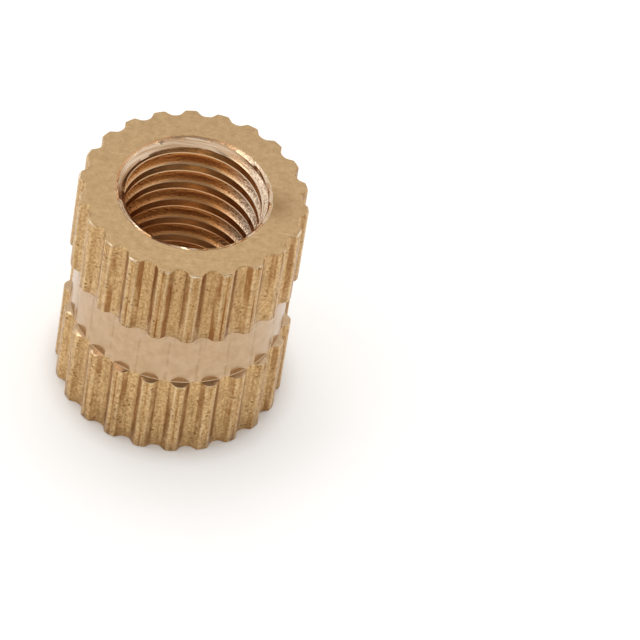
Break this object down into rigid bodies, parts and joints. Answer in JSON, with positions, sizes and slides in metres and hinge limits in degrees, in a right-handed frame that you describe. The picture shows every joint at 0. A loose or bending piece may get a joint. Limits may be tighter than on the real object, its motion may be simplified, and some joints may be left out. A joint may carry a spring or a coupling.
{
  "type": "press-fit nut",
  "caption": "Round brass press-fit nut: a threaded sleeve with two straight-knurled bands and a plain groove between them, pressed into a hole to give plastic a metal thread.",
  "frame": {"origin": "centre of the lower end face", "axes": "+Z along the bore, out of the upper mouth; +X through a tooth tip"},
  "size_m": [0.0072, 0.0072, 0.008],
  "materials": {
    "brass": "satin turned and knurled brass"
  },
  "bodies": {
    "root": {"knurled_insert": "brass"}
  },
  "joints": []
}
